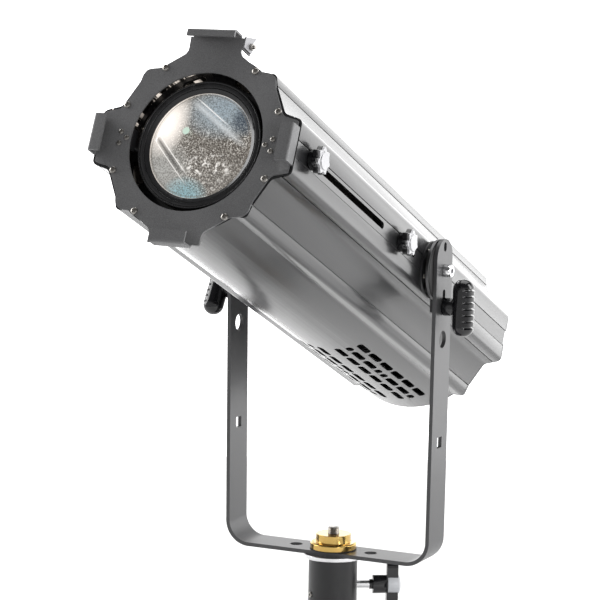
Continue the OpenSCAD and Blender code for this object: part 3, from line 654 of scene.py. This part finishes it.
def lock_grip(name, node, side, turn):
    bar = object_from("bar", turned_mesh("bar", capsule(18.25, 11.0, 150, 14), 96))
    grow(bar, RIBS, Pitch=0.0063, Depth=0.0027, Half_length=0.0212)
    stem = [(0, 0.35), (8.4, 0.35), (9.0, 0.9), (9.0, 9.2), (8.2, 10.6), (7.8, 11.6), (8.0, 13.0),
            (9.2, 15.2), (6.0, 17.5), (0, 17.5)]
    neck = turned_mesh("neck", stem, 56)
    neck.transform(Matrix.Rotation(math.radians(90), 4, "Y"))
    neck.transform(Matrix.Translation(((ARM_OUT - GRIP_X) * MM, 0, 0)))
    work = bmesh.new()
    work.from_mesh(bar.data)
    work.from_mesh(neck)
    place = Matrix.Translation((0, 0, LOCK_Z * MM)) @ Matrix.Rotation(math.radians(turn), 4, "X")
    if side < 0:
        place = place @ Matrix.Rotation(math.radians(180), 4, "Z")
    bmesh.ops.transform(work, matrix=place @ Matrix.Translation((GRIP_X * MM, 0, 0)), verts=work.verts)
    mesh = bpy.data.meshes.new(name)
    work.to_mesh(mesh)
    work.free()
    bpy.data.objects.remove(bar)
    shade_by_angle(mesh, 50)
    hand_over(object_from(name, mesh), FINISH["black_plastic"], BODY[node], SLOT[node], node)


lock_grip("right_ribbed_grip", "right_lock_grip", 1, 0)
lock_grip("left_ribbed_grip", "left_lock_grip", -1, LEFT_GRIP_TURN)
print("grips stand", GRIP_X, "mm from the middle")

# %% The threaded pan stud
STUD_FOOT = 64.5
STUD_TOP = 103.5
STUD_R = 6.0
STUD_ROWS = 300
CHAMFER_FROM = STUD_TOP - 0.7
row_height = (CHAMFER_FROM - STUD_FOOT) / STUD_ROWS
side_line = [(STUD_R, STUD_FOOT + row_height * i) for i in range(STUD_ROWS + 1)]
stud_line = [(0, STUD_FOOT)] + side_line + [(STUD_R - 0.8, STUD_TOP - 0.2), (0, STUD_TOP)]
stud = object_from("threaded_stud", turned_mesh("stud", stud_line, 64))
grow(stud, THREAD, Pitch=0.00175, Depth=0.0005, From=0.0935)
shade_by_angle(stud.data, 28)
hand_over(stud, FINISH["screw_steel"], BODY["pan_stud"], SLOT["pan_stud"], "pan_stud")
print("stud faces:", len(stud.data.polygons))

# %% [markdown]
# The wing of the socket's clamp screw is a bar of moulded plastic, and its round metal-grey cap
# is wider than the bar, so it stands out on both sides. The CAD wing is squeezed sideways to
# let the cap show.

# %% The clamp wing
CLAMP_TURN = math.radians(30)
CLAMP_X = Vector((math.cos(CLAMP_TURN), math.sin(CLAMP_TURN), 0))
CLAMP_Y = Vector((-CLAMP_X.y, CLAMP_X.x, 0))
WING_FROM = 55.9
SQUEEZE = 0.40
wing = object_from("clamp_wing", merged_copy("clamp_knob"))
for vertex in wing.data.vertices:
    if vertex.co.dot(CLAMP_X) > WING_FROM * MM:
        vertex.co = vertex.co - CLAMP_Y * (SQUEEZE * vertex.co.dot(CLAMP_Y))
frozen(break_edges(wing, EDGE["clamp_knob"]))
hand_over(wing, FINISH["black_plastic"], BODY["clamp_knob"], SLOT["clamp_knob"], "clamp_knob")
print("wing is", round(1000 * wing.dimensions.z, 1), "mm long")

# %% [markdown]
# The front plate and its four tabs are one sheet of steel. A press brake can't fold a sheer
# corner: each bend has a radius of about the sheet's thickness, and that soft bend is what
# catches the light. So the flat plate is trimmed back where its bends begin, and each tab is
# drawn as a path with arcs, given the thickness of the sheet, and joined on by a Boolean union.

# %% The bent front sheet
# each tab: how far it stands from the axis, its half width, its lip, and its turn from the right
TABS = {"right": (102, 18, 13, 0), "left": (102, 18, 13, 180),
        "top": (105, 24.5, 7.6, -90), "bottom": (101.3, 18, 12, 90)}
BEND = 3.0
OVERLAP = 2.0
TRIM = BEND + 0.2


def bent_path(reach, lip, depth=14.0, steps=7):
    """Outer side of a tab as (distance from the axis, y): out along the plate, forward, then in."""
    front = PLATE_FACE - depth
    back = PLATE_FACE + SHEET
    angles = [math.pi / 2 * i / steps for i in range(steps + 1)]
    arc = [(BEND * math.sin(a), BEND * math.cos(a)) for a in angles]
    path = [(reach - BEND - OVERLAP, back)]
    path += [(reach - BEND + across, back - BEND + along) for across, along in arc]
    path += [(reach - BEND + across, front + BEND - along) for along, across in arc]
    path += [(reach - lip, front)]
    return path


def thick(path, sheet):
    """The closed outline of a path given thickness to its inner side."""
    inner = []
    for i, (x, y) in enumerate(path):
        ax, ay = path[max(i - 1, 0)]
        bx, by = path[min(i + 1, len(path) - 1)]
        dx, dy = bx - ax, by - ay
        size = math.hypot(dx, dy)
        inner.append((x + dy / size * sheet, y - dx / size * sheet))
    return path + inner[::-1]


def in_head_object(name, work, turn):
    """An object from a bmesh drawn on the right side of the level head, then turned about the beam."""
    matrix = FROM_LEVEL @ Matrix.Rotation(math.radians(turn), 4, "Y")
    bmesh.ops.transform(work, matrix=matrix, verts=work.verts)
    mesh = bpy.data.meshes.new(name)
    work.to_mesh(mesh)
    work.free()
    return object_from(name, mesh)


def tab_piece(name, reach, half, lip, turn):
    outline = thick(bent_path(reach, lip), SHEET)
    work = bmesh.new()
    ends = [[work.verts.new((x * MM, y * MM, z * MM)) for x, y in outline] for z in (-half, half)]
    n = len(outline)
    for i in range(n):
        j = (i + 1) % n
        work.faces.new((ends[0][i], ends[0][j], ends[1][j], ends[1][i]))
    work.faces.new(ends[0])
    work.faces.new(ends[1][::-1])
    bmesh.ops.recalc_face_normals(work, faces=work.faces)
    return in_head_object(name + " tab", work, turn)


def trim_block(reach, turn, size=40, width=120):
    """A block that cuts the flat plate off where the bend of its tab begins."""
    work = bmesh.new()
    bmesh.ops.create_cube(work, size=1.0)
    middle = Matrix.Translation(((reach - TRIM + size / 2) * MM, PLATE_FACE * MM, 0))
    shape = Matrix.Diagonal((size * MM, size * MM, width * MM, 1))
    bmesh.ops.transform(work, matrix=middle @ shape, verts=work.verts)
    return in_head_object("trim", work, turn)


def front_sheet():
    flat = object_from("bent_front_sheet", merged_copy("front_plate"))
    tools = [(trim_block(reach, turn), "DIFFERENCE") for reach, half, lip, turn in TABS.values()]
    tools += [(tab_piece(name, *sizes), "UNION") for name, sizes in TABS.items()]
    for tool, operation in tools:
        step = flat.modifiers.new(operation, "BOOLEAN")
        step.operation = operation
        step.solver = "EXACT"
        step.object = tool
    frozen(flat)
    for tool, _ in tools:
        bpy.data.objects.remove(tool)
    work = bmesh.new()
    work.from_mesh(flat.data)
    bmesh.ops.remove_doubles(work, verts=work.verts, dist=3e-6)
    bmesh.ops.dissolve_limit(work, angle_limit=FLAT_ENOUGH, verts=work.verts, edges=work.edges)
    work.to_mesh(flat.data)
    work.free()
    return frozen(break_edges(flat, 0.3))


sheet = front_sheet()
hand_over(sheet, FINISH["dark_grey_powder_coat"], "head", "dark_grey_powder_coat",
          "front_plate", "frame_channels")
print("front sheet:", len(sheet.data.polygons), "faces")

# %% [markdown]
# The front lens is the one piece that everybody looks into. It is plano-convex, with its
# rounded face forward, and its surface has to be smooth in the glass, so it is turned from
# its own radius instead of being taken from the coarser CAD facets. Light that dust and the
# bright inside would send back through the glass is stood in for by a faint glow of its face.

# %% The lenses
def lens(name, node, front_y, sag_radius, edge_r, dome, back, finish="lens_glass"):
    """A lens on the optical axis; its crown is dome and its rear face is back behind front_y."""
    steps, seat = 26, 0.4
    radii = [edge_r * i / steps for i in range(steps + 1)]
    face = [(r, -(dome + sag_radius - math.sqrt(sag_radius ** 2 - r ** 2))) for r in radii]
    profile = face + [(edge_r + seat, face[-1][1]), (edge_r + seat, -back), (0, -back)]
    mesh = turned_mesh(name, profile, 120)
    mesh.transform(Matrix.Translation((0, front_y * MM, 0)) @ Matrix.Rotation(math.radians(90), 4, "X"))
    mesh.transform(FROM_LEVEL)
    shade_by_angle(mesh, 30)
    hand_over(object_from(name, mesh), FINISH[finish], BODY[node], SLOT[node], node)


LENSES = [
    ("front_lens_glass", "front_lens", -339.8, 172, 52.6, -4.0, 9.2, "dusty_front_lens"),
    ("zoom_lens_glass", "zoom_lens", -97.0, 70, 40.4, -6.0, 11.9),
    ("condenser_glass", "condenser_lens", -14.5, 70, 43.2, 6.0, 25.9),
]
for row in LENSES:
    lens(*row)
print("lenses turned:", len(LENSES))

# %% [markdown]
# The paint only covers the outside of the extrusions. Inside they are bare, bright aluminium, and that is
# what glints past the black lens carriage. The faces that look inwards get a second finish. Its colour is
# painted shade, nearly black, and on one side of the head its ribs carry painted glints. The glints also
# have a faint painted glow of their own, which stands in for light that reaches them past the lens.

# %% Bare aluminium inside the shells, in painted shade with painted glints
def inside_painted_shade_and_glints():
    skin = Finish("bare aluminium inside", Metallic=0.6, Emission_Strength=0.9)
    ribs = skin.noise(1.0, 2.0, skin.level((150, 10, 150)), 0.5)
    parts = skin.make("ShaderNodeSeparateXYZ", {}, [skin.level()]).socket.node.outputs
    x = Signal(skin, parts[0])
    z = Signal(skin, parts[2])
    # The glints are painted: a band up and to the left, between two planes along the beam, where the ribs
    # turn bright.
    lit_side = ((z - x - 0.100) * 60.0).clipped() * ((0.150 - z + x) * 60.0).clipped()
    glint = (ribs * 12.0 - 6.1).clipped() * lit_side
    # Painted shade, nearly black, as the base colour; the painted glints also glow.
    skin.drive(
        Base_Color=skin.tint(glint, (0.030, 0.026, 0.022), (0.92, 0.86, 0.78)),
        Emission_Color=skin.tint(glint, (0.0, 0.0, 0.0), (1.0, 0.90, 0.80)),
        Roughness=(ribs * 0.2 + 0.40).clipped())
    return skin.material


def looks_inwards(face):
    """True where a face of the head looks towards the optical axis."""
    c = TO_LEVEL @ face.center
    n = TO_LEVEL.to_3x3() @ face.normal
    return abs(n.y) < 0.5 and n.x * c.x + n.z * c.z < -0.25 * math.hypot(c.x, c.z)


INSIDE = inside_painted_shade_and_glints()
for node in ("top_shell", "bottom_shell", "right_side_shell", "left_side_shell"):
    shell = frozen(break_edges(object_from(node + "_painted", merged_copy(node)), EDGE[node]))
    hand_over(shell, FINISH["body_paint"], BODY[node], SLOT[node], node)
    shell.data.materials.append(INSIDE)
    bare = [face for face in shell.data.polygons if looks_inwards(face)]
    for face in bare:
        face.material_index = 1
    print(node, len(shell.data.polygons), "faces,", len(bare), "bare")

# %% [markdown]
# Everything else keeps its CAD shape. It only needs its edges broken and its finish.

# %% Finish the other CAD pieces
OWN_FINISH = {"latch_clip": "dull_zinc"}
rest = [n for n in BODY if not frame["nodes"][n].hide_render]
for node in rest:
    piece = object_from(node + "_finished", merged_copy(node))
    frozen(break_edges(piece, EDGE.get(node, PLAIN_EDGE)))
    hand_over(piece, FINISH[OWN_FINISH.get(node, SLOT[node])], BODY[node], SLOT[node], node)
print("finished CAD pieces:", len(rest))

# %% [markdown]
# The stage is a round pale floor under a pale sky. Dark glossy paint shows little of its own
# colour: what is seen is mostly what it mirrors. So the sky is brightest low down behind the
# lamp, which gives the long bright edges, dimmer ahead of it and dimmest overhead, and large
# soft boxes stand left, right and above.

# %% Floor, light and camera
def round_floor(radius=0.9, steps=96, below=0.0006):
    """A pale disc just below the mouth of the socket."""
    work = bmesh.new()
    bmesh.ops.create_circle(work, cap_ends=True, segments=steps, radius=radius)
    bmesh.ops.translate(work, vec=(0, 0, -below), verts=work.verts)
    mesh = bpy.data.meshes.new("floor")
    work.to_mesh(mesh)
    work.free()
    mesh.materials.append(Finish("pale floor", Base_Color=(0.92, 0.92, 0.92, 1), Roughness=0.8).material)
    return object_from("floor", mesh)


def pale_sky(behind, ahead, overhead):
    """A world that is brightest low down behind the lamp and dimmest overhead."""
    world = bpy.data.worlds.new("pale sky")
    world.use_nodes = True
    bench = Bench(world.node_tree)
    parts = bench.make("ShaderNodeSeparateXYZ", {}, [bench.make("ShaderNodeTexCoord", output="Generated")])
    depth = Signal(bench, parts.socket.node.outputs[1])
    height = Signal(bench, parts.socket.node.outputs[2])
    fade = ((height - 0.30) * 3.0).clipped()
    horizon = (depth * 1.2 + 0.5).clipped() * (behind - ahead) + ahead
    light = horizon * (1 - fade) + fade * overhead
    bench.tree.links.new(light.socket, world.node_tree.nodes["Background"].inputs[1])
    world.node_tree.nodes["Background"].inputs[0].default_value = (1, 1, 1, 1)
    bpy.context.scene.world = world


HEAD_MIDDLE = (0, 0, 0.35)


def soft_box(name, place, size, watts, aim=HEAD_MIDDLE):
    light = bpy.data.lights.new(name, "AREA")
    light.shape = "RECTANGLE"
    light.size, light.size_y = size
    light.energy = watts
    lamp = bpy.data.objects.new(name, light)
    bpy.context.scene.collection.objects.link(lamp)
    lamp.location = place
    lamp.rotation_euler = (Vector(aim) - Vector(place)).to_track_quat("-Z", "Y").to_euler()
    return lamp


stage = [
    round_floor(),
    soft_box("left", (-2.2, -0.3, 1.1), (1.4, 2.0), 44),
    soft_box("right", (1.9, 0.5, 1.5), (0.9, 1.6), 30),
    soft_box("near right", (2.1, -1.7, 0.8), (0.5, 0.9), 16),
    soft_box("top", (0.0, 0.6, 2.5), (2.0, 2.0), 34, (0, 0, 0.3)),
]
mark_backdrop(*stage)
bpy.context.scene.view_settings.view_transform = "Standard"
pale_sky(behind=2.4, ahead=0.68, overhead=0.12)


BASE_BAR_Z = 0.080


def place_camera(azimuth, elevation, roll, distance, across, up, focal):
    """Looks at the yoke's base bar; angles in degrees, distances in metres, focal length in mm."""
    a, e, r = map(math.radians, (azimuth, elevation, roll))
    back = Vector((math.sin(a) * math.cos(e), -math.cos(a) * math.cos(e), math.sin(e)))
    flat = Vector((math.cos(a), math.sin(a), 0))
    steep = back.cross(flat)
    right = flat * math.cos(r) + steep * math.sin(r)
    above = steep * math.cos(r) - flat * math.sin(r)
    camera = bpy.data.objects.new("camera", bpy.data.cameras.new("camera"))
    camera.data.lens = focal
    camera.data.sensor_width = 36
    camera.data.clip_end = 50
    bpy.context.scene.collection.objects.link(camera)
    spot = right * across + above * up + back * distance + Vector((0, 0, BASE_BAR_Z))
    camera.matrix_world = Matrix.Translation(spot) @ Matrix((right, above, back)).transposed().to_4x4()
    bpy.context.scene.camera = camera
    return camera


camera = place_camera(azimuth=25.493, elevation=7.703, roll=0.960, distance=2.68195,
                      across=-0.034574, up=0.257773, focal=154.975)
print("camera at", [round(v, 3) for v in camera.location])

# %% [markdown]
# Last, the finished model's box is set beside the CAD one, and how far it grows past it is printed in
# millimetres. The visual model must not be larger than the CAD one.

# %% Finish
final_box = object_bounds()
growth = list(cad_box[0] - final_box[0]) + list(final_box[1] - cad_box[1])
print("grown by", [round(v / MM, 2) for v in growth], "mm")
